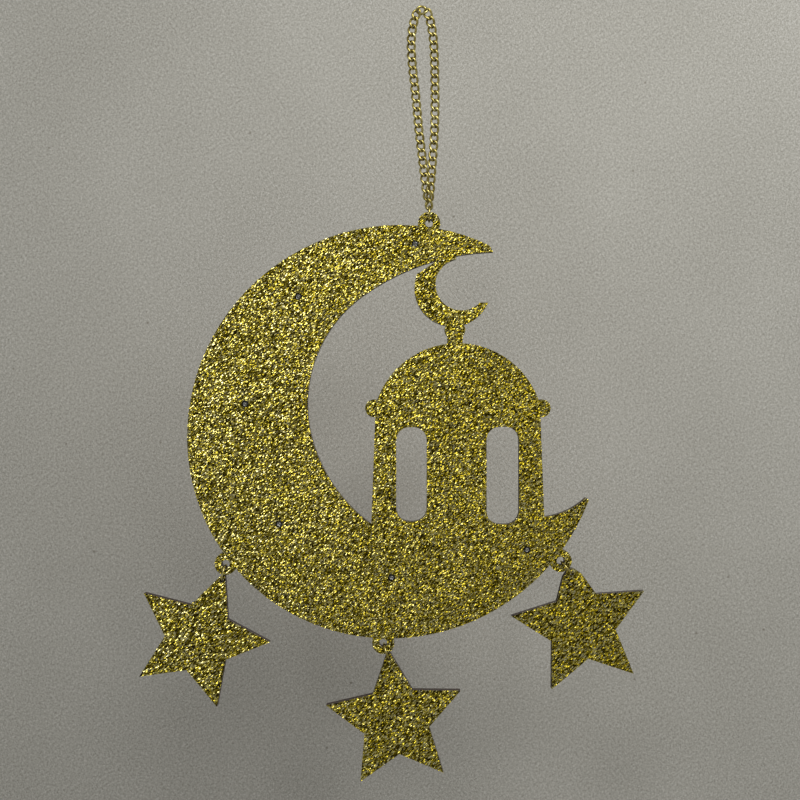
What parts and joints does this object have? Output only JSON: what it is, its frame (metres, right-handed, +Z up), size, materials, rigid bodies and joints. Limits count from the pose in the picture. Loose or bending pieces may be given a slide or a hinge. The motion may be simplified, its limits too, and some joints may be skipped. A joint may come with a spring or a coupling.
{
  "type": "hanging light",
  "caption": "Flat crescent with a domed lantern building and hanging stars, faced with gold glitter, lit by small LEDs and hung from a curb chain loop.",
  "frame": {"origin": "underside of the chain's top link, where a hook or nail carries the light", "axes": "+Z up, the glitter face towards -Y, +X to the viewer's right"},
  "size_m": [0.2525, 0.0331, 0.3867],
  "materials": {
    "board": "laser-cut board, faces plain, cut edges burnt dark brown",
    "glitter_sheet": "coarse olive-gold glitter flecks in a clear binder",
    "brass_chain": "bright antique brass wire",
    "led_lens": "clear cast lens",
    "lead": "soft black insulation",
    "foam_tape": "white double-sided foam",
    "case_plastic": "fine-grained black moulding",
    "slider_plastic": "grey moulding",
    "plated_steel": "nickel-plated sheet and wire",
    "cell_sleeve": "plain satin sleeve"
  },
  "bodies": {
    "chain_top": {"chain_top_links": "brass_chain"},
    "chain": {"left_strand_links_1": "brass_chain", "left_strand_links_10": "brass_chain", "left_strand_links_11": "brass_chain", "left_strand_links_2": "brass_chain", "left_strand_links_3": "brass_chain", "left_strand_links_4": "brass_chain", "left_strand_links_5": "brass_chain", "left_strand_links_6": "brass_chain", "left_strand_links_7": "brass_chain", "left_strand_links_8": "brass_chain", "left_strand_links_9": "brass_chain", "right_strand_links_1": "brass_chain", "right_strand_links_10": "brass_chain", "right_strand_links_11": "brass_chain", "right_strand_links_2": "brass_chain", "right_strand_links_3": "brass_chain", "right_strand_links_4": "brass_chain", "right_strand_links_5": "brass_chain", "right_strand_links_6": "brass_chain", "right_strand_links_7": "brass_chain", "right_strand_links_8": "brass_chain", "right_strand_links_9": "brass_chain"},
    "top_ring": {"top_lug_ring": "brass_chain"},
    "panel": {"battery_case": "case_plastic", "contact_spring": "plated_steel", "lead_box_to_led_5": "lead", "lead_box_to_led_6": "lead", "lead_led_2_to_led_1": "lead", "lead_led_3_to_led_2": "lead", "lead_led_4_to_led_3": "lead", "lead_led_5_to_led_4": "lead", "led_1": "led_lens", "led_2": "led_lens", "led_3": "led_lens", "led_4": "led_lens", "led_5": "led_lens", "led_6": "led_lens", "lower_battery_cell": "cell_sleeve", "lower_contact": "plated_steel", "moon_board": "board", "moon_glitter_sheet": "glitter_sheet", "mounting_tape": "foam_tape", "switch_body": "plated_steel", "upper_battery_cell": "cell_sleeve", "upper_contact": "plated_steel"},
    "cover": {"battery_cover": "case_plastic"},
    "slider": {"switch_slider": "slider_plastic"},
    "left_ring": {"left_star_ring": "brass_chain"},
    "left_star": {"left_star_board": "board", "left_star_glitter_sheet": "glitter_sheet"},
    "middle_ring": {"middle_star_ring": "brass_chain"},
    "middle_star": {"middle_star_board": "board", "middle_star_glitter_sheet": "glitter_sheet"},
    "right_ring": {"right_star_ring": "brass_chain"},
    "right_star": {"right_star_board": "board", "right_star_glitter_sheet": "glitter_sheet"}
  },
  "joints": [
    {"name": "chain_swing", "type": "hinge", "parent": "chain_top", "child": "chain", "pos_m": [0, 0, -0.0055], "axis": [1, 0, 0], "range_deg": [-15, 15]},
    {"name": "ring_tilt", "type": "hinge", "parent": "chain", "child": "top_ring", "pos_m": [0.00363, 0, -0.09816], "axis": [1, 0, 0], "range_deg": [-20, 20]},
    {"name": "panel_swing", "type": "hinge", "parent": "top_ring", "child": "panel", "pos_m": [0.00363, -0.00021, -0.10297], "axis": [0, 0.999, -0.0436], "range_deg": [-20, 20]},
    {"name": "left_ring_swing", "type": "hinge", "parent": "panel", "child": "left_ring", "pos_m": [-0.0982, -0.00764, -0.27324], "axis": [0, 0.999, -0.0436], "range_deg": [-15, 25]},
    {"name": "left_star_swing", "type": "hinge", "parent": "left_ring", "child": "left_star", "pos_m": [-0.10029, -0.00801, -0.28155], "axis": [0, 0.999, -0.0436], "range_deg": [-10, 40]},
    {"name": "middle_ring_swing", "type": "hinge", "parent": "panel", "child": "middle_ring", "pos_m": [-0.01937, -0.00937, -0.31275], "axis": [0, 0.999, -0.0436], "range_deg": [-20, 20]},
    {"name": "middle_star_swing", "type": "hinge", "parent": "middle_ring", "child": "middle_star", "pos_m": [-0.01649, -0.00972, -0.32083], "axis": [0, 0.999, -0.0436], "range_deg": [-22, 22]},
    {"name": "right_ring_swing", "type": "hinge", "parent": "panel", "child": "right_ring", "pos_m": [0.06936, -0.00758, -0.27181], "axis": [0, 0.999, -0.0436], "range_deg": [-25, 10]},
    {"name": "right_star_swing", "type": "hinge", "parent": "right_ring", "child": "right_star", "pos_m": [0.07506, -0.00786, -0.27822], "axis": [0, 0.999, -0.0436], "range_deg": [-40, 0]},
    {"name": "cover_slide", "type": "slide", "parent": "panel", "child": "cover", "axis": [0, 0.0436, 0.999], "range_m": [0, 0.055]},
    {"name": "switch_slide", "type": "slide", "parent": "panel", "child": "slider", "axis": [1, 0, 0], "range_m": [0, 0.0025]}
  ]
}
